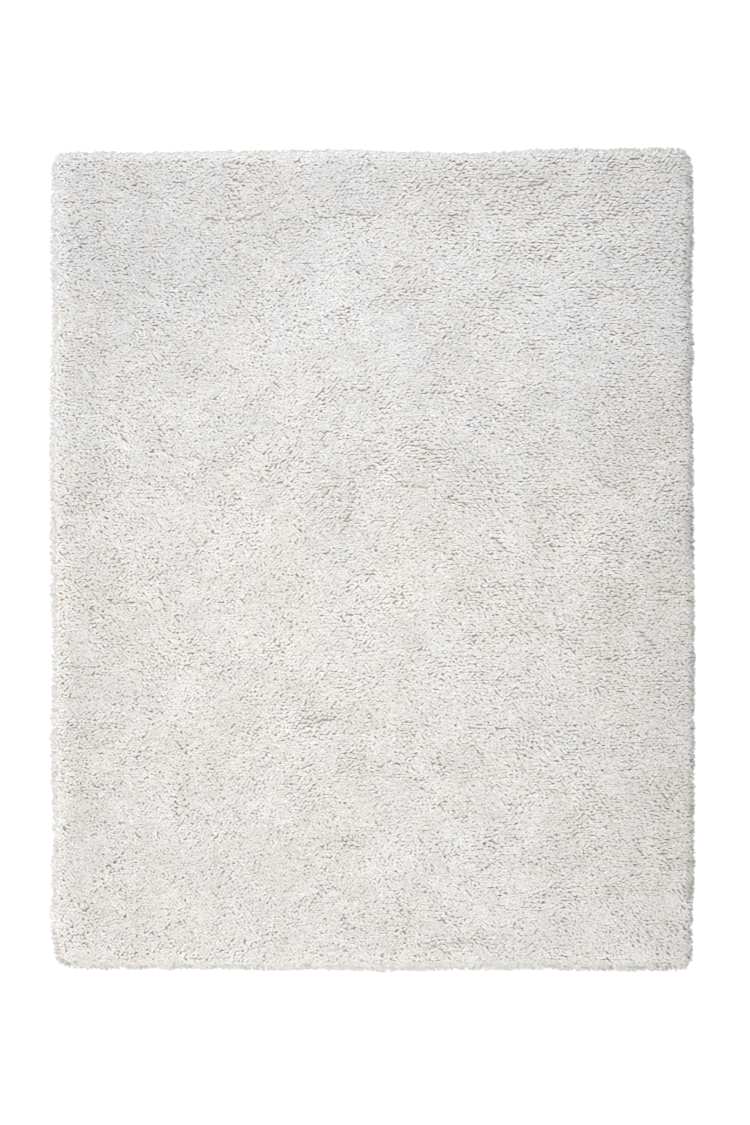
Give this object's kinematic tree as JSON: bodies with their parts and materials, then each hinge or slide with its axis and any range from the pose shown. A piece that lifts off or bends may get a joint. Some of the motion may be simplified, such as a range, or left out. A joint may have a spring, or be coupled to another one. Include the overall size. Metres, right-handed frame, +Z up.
{
  "type": "shag rug",
  "caption": "Rectangular ivory shag rug lying flat: deep cut pile on a woven backing, with soft, slightly uneven edges and rounded corners.",
  "frame": {"origin": "on the underside, at the middle of the rug's overall size", "axes": "+Y along the long side, towards the end at the top of the picture; +X across the rug, towards its right side there; +Z up, out of the pile"},
  "size_m": [2.39, 3.05, 0.0402],
  "materials": {
    "pile": "matte",
    "backing": "matte"
  },
  "bodies": {
    "root": {"rug": "pile"}
  },
  "joints": []
}
